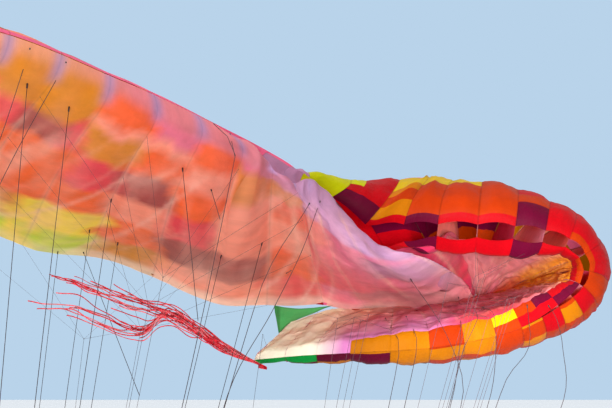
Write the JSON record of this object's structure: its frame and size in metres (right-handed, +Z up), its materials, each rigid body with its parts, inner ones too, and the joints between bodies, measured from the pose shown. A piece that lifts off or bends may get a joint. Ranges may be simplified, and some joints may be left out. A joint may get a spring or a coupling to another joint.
{
  "type": "paraglider",
  "caption": "Ram-air paraglider wing with one half inflated and the other folded round into a bowl, with line cascades, risers, pulleys and pull-down brakes.",
  "frame": {"origin": "midway between the two hang loops, where a rider's harness hooks in", "axes": "+Z up, -Y the way the leading edge faces, -X towards the wing's right tip"},
  "size_m": [7.0639, 5.4307, 6.3284],
  "materials": {
    "green_cloth": "coated ripstop, slight sheen",
    "amber_cloth": "coated ripstop, slight sheen",
    "orange_cloth": "coated ripstop, slight sheen",
    "red_cloth": "coated ripstop, slight sheen",
    "lime_cloth": "coated ripstop, slight sheen",
    "white_cloth": "coated ripstop, slight sheen",
    "line": "braided cord",
    "webbing": "woven webbing",
    "ribbon": "thin ribbon",
    "steel": "polished"
  },
  "bodies": {
    "wing": {"upper_skin_01": "green_cloth", "lower_skin_ribs_01": "white_cloth", "upper_skin_02": "amber_cloth", "lower_skin_ribs_02": "white_cloth", "upper_skin_03": "amber_cloth", "lower_skin_ribs_03": "white_cloth", "upper_skin_04": "red_cloth", "lower_skin_ribs_04": "white_cloth", "upper_skin_05": "orange_cloth", "lower_skin_ribs_05": "white_cloth", "upper_skin_06": "lime_cloth", "lower_skin_ribs_06": "white_cloth", "upper_skin_07": "orange_cloth", "lower_skin_ribs_07": "white_cloth", "upper_skin_08": "red_cloth", "lower_skin_ribs_08": "white_cloth", "upper_skin_09": "amber_cloth", "lower_skin_ribs_09": "white_cloth", "upper_skin_10": "red_cloth", "lower_skin_ribs_10": "white_cloth", "upper_skin_11": "lime_cloth", "lower_skin_ribs_11": "white_cloth", "riser_left": "webbing", "brake_pulley_left": "steel", "quick_link_a_left": "steel", "lines_a_left": "line", "quick_link_b_left": "steel", "lines_b_left": "line", "quick_link_c_left": "steel", "lines_c_left": "line", "brake_lines_left": "line", "stabilo_line_left": "line", "riser_right": "webbing", "brake_pulley_right": "steel", "quick_link_a_right": "steel", "lines_a_right": "line", "quick_link_b_right": "steel", "lines_b_right": "line", "quick_link_c_right": "steel", "lines_c_right": "line", "brake_lines_right": "line", "stabilo_line_right": "line", "stabilizer_left": "green_cloth", "stabilizer_right": "lime_cloth", "tip_streamers": "ribbon"},
    "left_sheave": {"sheave_left": "steel"},
    "right_sheave": {"sheave_right": "steel"},
    "left_brake": {"brake_toggle_left": "webbing"},
    "right_brake": {"brake_toggle_right": "webbing"}
  },
  "joints": [
    {"name": "left_brake_pull", "type": "slide", "parent": "wing", "child": "left_brake", "axis": [-0.4009, -0.461, -0.7917], "range_m": [0, 0.6]},
    {"name": "left_sheave_spin", "type": "hinge", "parent": "wing", "child": "left_sheave", "pos_m": [0.36433, 0.24662, 0.26455], "axis": [0.9161, -0.2017, -0.3464], "continuous": true},
    {"name": "right_brake_pull", "type": "slide", "parent": "wing", "child": "right_brake", "axis": [-0.08, -0.3598, -0.9296], "range_m": [0, 0.6]},
    {"name": "right_sheave_spin", "type": "hinge", "parent": "wing", "child": "right_sheave", "pos_m": [-0.17921, 0.21314, 0.32901], "axis": [0.9968, -0.0289, -0.0746], "continuous": true}
  ]
}
